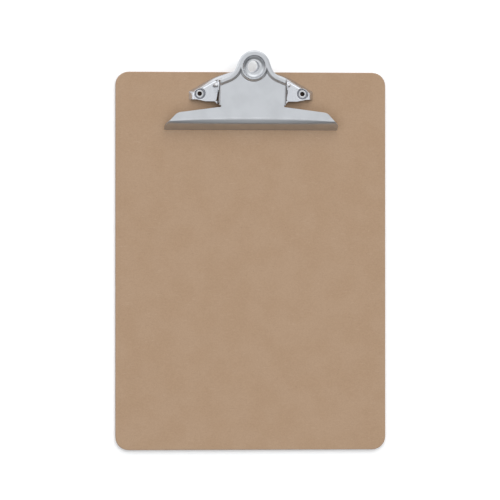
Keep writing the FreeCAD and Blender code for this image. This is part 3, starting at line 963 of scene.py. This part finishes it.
def weld(piece):
    """Joins the points of a piece that lie in one place, and turns its faces outward."""
    made = bmesh.new()
    made.from_mesh(piece.data)
    bmesh.ops.remove_doubles(made, verts=made.verts, dist=TINY)
    bmesh.ops.recalc_face_normals(made, faces=made.faces)
    made.to_mesh(piece.data)
    made.free()


def flatten(piece):
    """Keeps large flat faces flat in the shading, and breaks it at sharp edges."""
    piece.data.set_sharp_from_angle(angle=math.radians(40))
    normals = piece.modifiers.new("flat_faces", "WEIGHTED_NORMAL")
    normals.mode = "FACE_AREA"
    normals.weight = 100
    normals.keep_sharp = True


# -------- small steel parts

def arc_points(centre, radius, first, last, count):
    """Points round a centre, between two angles in degrees."""
    angles = np.radians(np.linspace(first, last, count))
    return [(centre[0] + radius * math.cos(a), centre[1] + radius * math.sin(a)) for a in angles]


def make_rivet(side):
    """A tubular rivet: flat head, shank, rim rolled over in the dimple, and its hollow."""
    seat = BOARD_TOP + BASE_SHEET
    roll, ease, thickness = RIVET_ROLL, RIVET_HEAD_EASE, RIVET_HEAD_THICKNESS
    crest = RIVET_HIGH[2] - roll
    profile = [(0.0, 0.0)]
    profile += arc_points((RIVET_HEAD_RADIUS - ease, ease), ease, -90, 0, 4)
    profile += [(RIVET_HEAD_RADIUS, thickness), (RIVET_SHANK_RADIUS, thickness)]
    profile += [(RIVET_SHANK_RADIUS, seat), (RIVET_ROLL_OUTER_RADIUS - 0.1, seat)]
    profile += arc_points((RIVET_ROLL_OUTER_RADIUS - roll, crest), roll, -20, 90, 6)
    profile += arc_points((RIVET_HOLLOW_RADIUS + roll, crest), roll, 90, 180, 6)
    profile += [(RIVET_HOLLOW_RADIUS - 0.08, seat - 0.4)] + RIVET_HOLLOW_FLOOR
    rivet = lathe("rivet_" + ("right" if side > 0 else "left") + "_turned", profile, 48)
    rivet.data.transform(translation(side * RIVET_X, RIVET_Y, 0))
    soften(rivet, 0.05, 45)
    return rivet


def translation(x, y, z):
    return Matrix.Translation(Vector((x, y, z)) * MM)


def make_pin():
    half = PIN_HALF_LENGTH
    profile = [(0.0, -half)]
    profile += arc_points((PIN_RADIUS - PIN_DOME, -half + PIN_DOME), PIN_DOME, -90, 0, 7)
    ear = EAR_INNER_X + BASE_SHEET
    profile += [(PIN_RADIUS, x) for x in (-ear - 0.5, -ear, 0.0, ear)]
    profile += arc_points((PIN_RADIUS - PIN_DOME, half - PIN_DOME), PIN_DOME, 0, 90, 7)
    profile += [(0.0, half)]
    pin = lathe("hinge_pin_turned", profile, 40)
    turn = Matrix.Rotation(math.radians(90), 4, "Y")
    pin.data.transform(translation(0, HINGE_Y, HINGE_Z) @ turn)
    return pin


def leaving_angle(y, z, above):
    """The angle round the hinge at which a straight leg to (y, z) leaves the coil."""
    reach = math.hypot(y - HINGE_Y, z - HINGE_Z)
    toward = math.atan2(z - HINGE_Z, y - HINGE_Y)
    spread = math.acos(SPRING_COIL_RADIUS / reach)
    return toward + spread if above else toward - spread


def make_spring(side):
    base_leg_z = PLATFORM_TOP + SPRING_WIRE_RADIUS
    under_lever = (LEVER_SHEET + SPRING_WIRE_RADIUS) / math.cos(TILT)
    lever_leg_z = panel_z(SPRING_LEVER_LEG_Y) - under_lever - SPRING_LEG_GAP
    first = leaving_angle(SPRING_LEVER_LEG_Y, lever_leg_z, True)
    turn = leaving_angle(SPRING_BASE_LEG_Y, base_leg_z, False) - first + 2 * math.pi * SPRING_COILS
    length = SPRING_PITCH * turn / (2 * math.pi)
    slope = SPRING_PITCH / (2 * math.pi * SPRING_COIL_RADIUS)
    t = np.linspace(0, 1, 150)
    coil = np.stack([
        SPRING_INNER_X + length * t,
        HINGE_Y + SPRING_COIL_RADIUS * np.cos(first + turn * t),
        HINGE_Z + SPRING_COIL_RADIUS * np.sin(first + turn * t),
    ], 1)

    def leg(start, y, z, drift):
        run = math.hypot(y - start[1], z - start[2])
        tip = np.array((start[0] + drift * run, y, z))
        return [start + (tip - start) * k / 8 for k in range(1, 9)]

    lever_leg = leg(coil[0], SPRING_LEVER_LEG_Y, lever_leg_z, -slope)
    base_leg = leg(coil[-1], SPRING_BASE_LEG_Y, base_leg_z, slope)
    path = np.concatenate([lever_leg[::-1], coil, base_leg])
    path[:, 0] *= side
    name = "torsion_spring_" + ("right" if side > 0 else "left")
    spring = tube(name + "_wire", path, SPRING_WIRE_RADIUS - SPRING_PLAY, 16)
    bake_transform(spring)
    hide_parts(name)
    return spring


# -------- assembly

board = make_board()
base = make_base()
lever = make_lever()
pin = make_pin()
rivets = {side: make_rivet(side) for side in (1, -1)}
springs = [make_spring(side) for side in (1, -1)]

for piece, body, replaced, slot in (
    (board, BASE_BODY, "board", "hardboard"),
    (base, BASE_BODY, "clip_base", "bright_plate"),
    (lever, LEVER_BODY, "clip_lever", "satin_plate"),
    (pin, BASE_BODY, "hinge_pin", "pin_steel"),
    (rivets[1], BASE_BODY, "rivet_right", "rivet_steel"),
    (rivets[-1], BASE_BODY, "rivet_left", "rivet_steel"),
):
    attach(piece, body)
    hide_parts(replaced)


# -------- materials

# The board's tones are sRGB values out of 255; the metals' tones are linear.
BOARD_TONE = (163, 134, 106)
BOARD_DARK_TONE = (128, 100, 77)
BOARD_LIGHT_TONE = (186, 162, 140)
EDGE_DARK_TONE = (116, 88, 66)
EDGE_LIGHT_TONE = (140, 111, 86)
SATIN_TONE = (0.61, 0.622, 0.642, 1)
BRIGHT_TONE = (0.67, 0.68, 0.71, 1)
WIRE_TONE = (0.46, 0.46, 0.47, 1)
PIN_TONE = (0.66, 0.66, 0.67, 1)
RIVET_TONE = (0.60, 0.60, 0.61, 1)
RIVET_WORN_TONE = (0.38, 0.36, 0.34, 1)
PIT_TONE = (0.25, 0.24, 0.23, 1)
# Near-black painted shade for the inside of the rivet's hollow.
HOLLOW_SHADE_TONE = (0.07, 0.05, 0.04, 1)


def srgb(red, green, blue):
    def linear(value):
        value /= 255
        return value / 12.92 if value <= 0.04045 else ((value + 0.055) / 1.055) ** 2.4
    return (linear(red), linear(green), linear(blue), 1.0)


def darker(tone, share):
    return tuple(value * share for value in tone[:3]) + (1,)


def join(tree, value, socket):
    """Sets a socket to a plain value, or links another node's output to it."""
    if isinstance(value, bpy.types.NodeSocket):
        tree.links.new(value, socket)
    else:
        socket.default_value = value


def node(tree, kind, **inputs):
    """A new shader node, with inputs set or linked by name."""
    made = tree.nodes.new("ShaderNode" + kind)
    for name, value in inputs.items():
        join(tree, value, made.inputs[name])
    return made


def new_material(name, metallic=0.0):
    material = bpy.data.materials.new(name)
    material.use_nodes = True
    tree = material.node_tree
    tree.nodes.clear()
    output = node(tree, "OutputMaterial")
    shader = node(tree, "BsdfPrincipled", Metallic=metallic)
    tree.links.new(shader.outputs["BSDF"], output.inputs["Surface"])
    return material, tree, shader


def arithmetic(tree, operation, a, b=0.0):
    made = node(tree, "Math")
    made.operation = operation
    for socket, value in zip(made.inputs, (a, b)):
        join(tree, value, socket)
    return made.outputs["Value"]


def times(tree, a, b):
    return arithmetic(tree, "MULTIPLY", a, b)


def plus(tree, a, b):
    return arithmetic(tree, "ADD", a, b)


def ramp(tree, value, start, end, low=0.0, high=1.0):
    """A smooth step of a value from low to high."""
    step = node(tree, "MapRange", Value=value)
    step.interpolation_type = "SMOOTHSTEP"
    for name, number in zip(("From Min", "From Max", "To Min", "To Max"), (start, end, low, high)):
        step.inputs[name].default_value = number
    return step.outputs["Result"]


def place(tree, stretch=(1, 1, 1), turn=0.0, shift=(0, 0, 0)):
    """Object coordinates in metres, moved, turned about Z and stretched."""
    coords = node(tree, "TexCoord").outputs["Object"]
    spin = (0, 0, math.radians(turn))
    mapping = node(tree, "Mapping", Vector=coords, Location=shift, Rotation=spin, Scale=stretch)
    return mapping.outputs["Vector"]


def noise(tree, size, detail=3.0, where=None):
    """Noise whose patches are about size metres across, in object coordinates or elsewhere."""
    where = place(tree) if where is None else where
    return node(tree, "TexNoise", Vector=where, Scale=1 / size, Detail=detail).outputs["Fac"]


def specks(tree, where, size, radius, share):
    """Sparse round specks: a share of cells of the given size holds one."""
    cells = node(tree, "TexVoronoi", Vector=where, Scale=1 / size)
    dot = ramp(tree, cells.outputs["Distance"], radius * 0.6 / size, radius * 1.3 / size, 1.0, 0.0)
    red = node(tree, "SeparateColor", Color=cells.outputs["Color"]).outputs["Red"]
    return times(tree, dot, ramp(tree, red, share - 0.02, share + 0.02, 1.0, 0.0))


def mixed(tree, factor, a, b):
    """Colour a turning into colour b; a mix node's colour sockets are known by their type."""
    made = node(tree, "Mix")
    made.data_type = "RGBA"
    colours = [socket for socket in made.inputs if socket.type == "RGBA"]
    for socket, value in zip([made.inputs[0]] + colours, (factor, a, b)):
        join(tree, value, socket)
    return [socket for socket in made.outputs if socket.type == "RGBA"][0]


def dress(tree, shader, colour, roughness, height, strength, distance):
    """Gives a shader its colour, its roughness and a bump from a height."""
    bump = node(tree, "Bump", Strength=strength, Distance=distance, Height=height)
    normal = bump.outputs["Normal"]
    for name, value in zip(("Base Color", "Roughness", "Normal"), (colour, roughness, normal)):
        tree.links.new(value, shader.inputs[name])


def scratches(tree, turn, spacing, share):
    """Fine straight hairlines at an angle, broken up into short runs."""
    lines = noise(tree, spacing, 2.0, place(tree, (0.02, 1, 1), turn))
    broken = noise(tree, 0.006, 2.0, place(tree, shift=(0.3, 0.1, 0)))
    hair = ramp(tree, lines, share, share + 0.03)
    return times(tree, hair, ramp(tree, broken, 0.5, 0.62))


def board_material():
    """Pressed wood fibre: mottled brown, a few fibres and specks, darker cut edges."""
    material, tree, shader = new_material("hardboard")
    cloud = noise(tree, 0.022)
    grain = noise(tree, 0.0011, 4.0, place(tree, (1, 1, 1.5)))
    fibre_a = noise(tree, 0.0006, 1.0, place(tree, (0.14, 1, 1), 24))
    fibre_b = noise(tree, 0.0007, 1.0, place(tree, (0.12, 1, 1), -57, (0.7, 0.2, 0)))
    base = srgb(*BOARD_TONE)
    dark = srgb(*BOARD_DARK_TONE)
    light = srgb(*BOARD_LIGHT_TONE)
    tone = mixed(tree, ramp(tree, grain, 0.34, 0.66, 0.0, 0.16), base, dark)
    tone = mixed(tree, ramp(tree, cloud, 0.35, 0.65, 0.0, 0.10), tone, light)
    tone = mixed(tree, ramp(tree, fibre_a, 0.68, 0.74, 0.0, 0.22), tone, dark)
    tone = mixed(tree, ramp(tree, fibre_b, 0.69, 0.75, 0.0, 0.22), tone, light)
    flecks = specks(tree, place(tree), 0.009, 0.00035, 0.35)
    tone = mixed(tree, times(tree, flecks, 0.65), tone, dark)
    pale = specks(tree, place(tree, shift=(0.5, 0.3, 0)), 0.013, 0.0004, 0.3)
    tone = mixed(tree, times(tree, pale, 0.6), tone, light)
    facing = node(tree, "NewGeometry").outputs["Normal"]
    upward = node(tree, "SeparateXYZ", Vector=facing).outputs["Z"]
    level = arithmetic(tree, "ABSOLUTE", upward)
    layers = noise(tree, 0.00035, 2.0, place(tree, (0.12, 0.12, 1)))
    layer = ramp(tree, layers, 0.35, 0.65)
    edge_tone = mixed(tree, layer, srgb(*EDGE_DARK_TONE), srgb(*EDGE_LIGHT_TONE))
    tone = mixed(tree, ramp(tree, level, 0.35, 0.97, 0.85, 0.0), tone, edge_tone)
    rough = ramp(tree, grain, 0.3, 0.7, 0.5, 0.66)
    height = plus(tree, grain, times(tree, fibre_a, 0.35))
    dress(tree, shader, tone, rough, height, 0.35, 0.00006)
    return material


def plated_material(name, tone, roughness, polish, wave):
    """Nickel plate: tumbled grain, faint smudges and hairlines, and polish where hands rub."""
    material, tree, shader = new_material(name, metallic=1.0)
    smudge = noise(tree, 0.012)
    grain = noise(tree, 0.00035, 2.0)
    one_way = scratches(tree, 18, 0.00022, 0.66)
    other_way = scratches(tree, -64, 0.00025, 0.67)
    hair = arithmetic(tree, "MAXIMUM", one_way, other_way)
    dull = darker(tone, 0.90)
    colour = mixed(tree, ramp(tree, smudge, 0.35, 0.68, 0.0, 0.55), tone, dull)
    pits = specks(tree, place(tree, shift=(0.2, 0.7, 0)), 0.006, 0.00012, 0.22)
    colour = mixed(tree, times(tree, pits, 0.6), colour, PIT_TONE)
    rough = ramp(tree, smudge, 0.3, 0.7, roughness, roughness + 0.04)
    if polish:
        reach = node(tree, "VectorMath")
        reach.operation = "DISTANCE"
        tree.links.new(place(tree), reach.inputs[0])
        reach.inputs[1].default_value = (0.0, LOBE_Y * MM, panel_z(LOBE_Y) * MM)
        rubbed = ramp(tree, reach.outputs["Value"], 0.008, 0.024, -0.05, 0.0)
        rough = plus(tree, rough, rubbed)
    rough = plus(tree, rough, times(tree, hair, 0.05))
    ripple = times(tree, noise(tree, 0.009, 1.0), wave)
    height = plus(tree, grain, ripple)
    height = arithmetic(tree, "SUBTRACT", height, times(tree, hair, 0.3))
    dress(tree, shader, colour, rough, height, 0.05, 0.000003)
    return material


def steel_material(name, tone, roughness, grain_size):
    """Bare drawn steel with streaks round it and a little oxide in patches."""
    material, tree, shader = new_material(name, metallic=1.0)
    streak = noise(tree, grain_size, where=place(tree, (1, 0.25, 0.25)))
    patch = noise(tree, 0.003)
    colour = mixed(tree, ramp(tree, patch, 0.45, 0.75, 0.0, 0.3), tone, darker(tone, 0.55))
    rough = ramp(tree, streak, 0.3, 0.7, roughness, roughness + 0.14)
    dress(tree, shader, colour, rough, streak, 0.15, 0.000005)
    return material


def rivet_material():
    """Plated tubular rivet with worn patches, its hollow painted near-black as painted shade."""
    material, tree, shader = new_material("rivet_steel", metallic=1.0)
    x, y, z = node(tree, "SeparateXYZ", Vector=place(tree)).outputs
    off_x = arithmetic(tree, "SUBTRACT", arithmetic(tree, "ABSOLUTE", x), RIVET_X * MM)
    off_y = arithmetic(tree, "SUBTRACT", y, RIVET_Y * MM)
    square = plus(tree, times(tree, off_x, off_x), times(tree, off_y, off_y))
    radius = arithmetic(tree, "SQRT", square)
    # The hollow is picked out by radius and height and painted near-black and rougher: painted shade
    # down the rivet's hollow.
    within = ramp(tree, radius, 0.00178, 0.00196, 1.0, 0.0)
    deep = ramp(tree, z, 0.0010, 0.0012)
    hollow_shade = times(tree, within, deep)
    patch = noise(tree, 0.0012)
    worn = mixed(tree, ramp(tree, patch, 0.4, 0.7, 0.0, 0.25), RIVET_TONE, RIVET_WORN_TONE)
    colour = mixed(tree, hollow_shade, worn, HOLLOW_SHADE_TONE)
    rough = ramp(tree, hollow_shade, 0.0, 1.0, 0.22, 0.55)
    dress(tree, shader, colour, rough, noise(tree, 0.0004), 0.3, 0.00001)
    return material


def wear(piece, material):
    piece.data.materials.clear()
    piece.data.materials.append(material)


wear(board, board_material())
wear(lever, plated_material("satin_plate", SATIN_TONE, 0.31, True, 3.0))
wear(base, plated_material("bright_plate", BRIGHT_TONE, 0.15, False, 5.0))
wear(pin, steel_material("pin_steel", PIN_TONE, 0.2, 0.0006))
rivet_steel = rivet_material()
for rivet in rivets.values():
    wear(rivet, rivet_steel)
spring_steel = steel_material("spring_steel", WIRE_TONE, 0.26, 0.0004)
for spring in springs:
    wear(spring, spring_steel)


# -------- stage

FLOOR_HALF = 6.0
FLOOR_DROP = 0.0004
FLOOR_GLOW = 0.12
SKY_TONE = (0.96, 0.98, 1.0, 1)
SKY = 0.95
SKY_SIDES = 0.35
SKY_HORIZON = 0.45
SKY_LEFT = 0.3
SKY_LOW_FRONT = 0.76
SKY_LOW_RIGHT = 0.35

# Where each part of the sky begins and ends, along the direction's X, Y or Z.
SKY_LOW_Z = (0.6, 0.9)
SKY_SIDES_Z = (0.45, 0.93)
SKY_HORIZON_Z = (0.05, 0.4)
SKY_FRONT_Y = (-0.5, 0.1)
SKY_RIGHT_X = (0.1, 0.6)
SKY_LEFT_X = (-0.8, -0.35)

# The key light is two lights in one place, and polished metal mirrors only the weaker.
KEY_DIRECTION = (0.22, 0.62, 0.75)
KEY_DISTANCE = 4.0
KEY_SIZE = (4.4, 4.4)
KEY_POWER = 38
MATT_KEY_POWER = 105
STRIP_DIRECTION = (-0.05, -0.53, 0.84)
STRIP_DISTANCE = 2.0
STRIP_SIZE = (1.6, 0.2)
STRIP_POWER = 1.6
CAMERA_DISTANCE = 4.5
CAMERA_YAW = math.radians(-7.2)
CAMERA_PITCH = math.radians(0.4)
CAMERA_TARGET = Vector((-0.0007, 0.0092, 0.003))
CAMERA_SPAN = 0.4206


def make_stage():
    h = FLOOR_HALF
    corners = [(-h, -h, 0), (h, -h, 0), (h, h, 0), (-h, h, 0)]
    mesh = bpy.data.meshes.new("floor")
    mesh.from_pydata(corners, [], [(0, 1, 2, 3)])
    floor = in_scene("floor", mesh)
    material, _, shader = new_material("floor")
    shader.inputs["Base Color"].default_value = (0.9, 0.9, 0.9, 1)
    shader.inputs["Roughness"].default_value = 0.9
    shader.inputs["Emission Color"].default_value = (1, 1, 1, 1)
    shader.inputs["Emission Strength"].default_value = FLOOR_GLOW
    floor.data.materials.append(material)
    floor.location.z = -FLOOR_DROP


def area_light(name, direction, distance, size, power):
    """A rectangular light that faces the origin from a direction."""
    data = bpy.data.lights.new(name, "AREA")
    data.shape = "RECTANGLE"
    data.size, data.size_y = size
    data.energy = power
    light = in_scene(name, data)
    away = Vector(direction).normalized()
    light.location = away * distance
    light.rotation_euler = away.to_track_quat("Z", "Y").to_euler()
    return light


def make_sky():
    """A soft white studio, dim low down in front of the object and to its right."""
    world = bpy.data.worlds.new("studio")
    bpy.context.scene.world = world
    world.use_nodes = True
    tree = world.node_tree
    background = tree.nodes["Background"]
    direction = node(tree, "TexCoord").outputs["Generated"]
    x, y, z = node(tree, "SeparateXYZ", Vector=direction).outputs
    low = ramp(tree, z, *SKY_LOW_Z, 1.0, 0.0)
    front = times(tree, ramp(tree, y, *SKY_FRONT_Y, 1.0, 0.0), low)
    right = times(tree, ramp(tree, x, *SKY_RIGHT_X), low)
    sides = ramp(tree, z, *SKY_SIDES_Z, SKY_SIDES, 0.0)
    left = times(tree, ramp(tree, x, *SKY_LEFT_X, SKY_LEFT, 0.0), low)
    sides = plus(tree, plus(tree, sides, left), 1.0)
    dim = arithmetic(tree, "SUBTRACT", 1.0, times(tree, front, SKY_LOW_FRONT))
    dim = times(tree, dim, sides)
    dim = times(tree, dim, ramp(tree, z, *SKY_HORIZON_Z, SKY_HORIZON, 1.0))
    dim_right = arithmetic(tree, "SUBTRACT", 1.0, times(tree, right, SKY_LOW_RIGHT))
    strength = times(tree, times(tree, dim, dim_right), SKY)
    seen = node(tree, "LightPath").outputs["Is Camera Ray"]
    strength = arithmetic(tree, "MAXIMUM", strength, seen)
    tree.links.new(strength, background.inputs["Strength"])
    background.inputs["Color"].default_value = SKY_TONE


def make_camera():
    data = bpy.data.cameras.new("camera")
    camera = in_scene("camera", data)
    turn = Euler((CAMERA_PITCH, CAMERA_YAW, 0.0), "XYZ")
    camera.rotation_euler = turn
    camera.location = CAMERA_TARGET + turn.to_matrix() @ Vector((0, 0, CAMERA_DISTANCE))
    data.sensor_width = 36.0
    data.lens = data.sensor_width * CAMERA_DISTANCE / CAMERA_SPAN
    bpy.context.scene.camera = camera


make_stage()
area_light("key", KEY_DIRECTION, KEY_DISTANCE, KEY_SIZE, KEY_POWER)
matt_key = area_light("matt_key", KEY_DIRECTION, KEY_DISTANCE, KEY_SIZE, MATT_KEY_POWER)
matt_key.visible_glossy = False
area_light("front_strip", STRIP_DIRECTION, STRIP_DISTANCE, STRIP_SIZE, STRIP_POWER)
make_sky()
bpy.context.scene.view_settings.view_transform = "Standard"
make_camera()
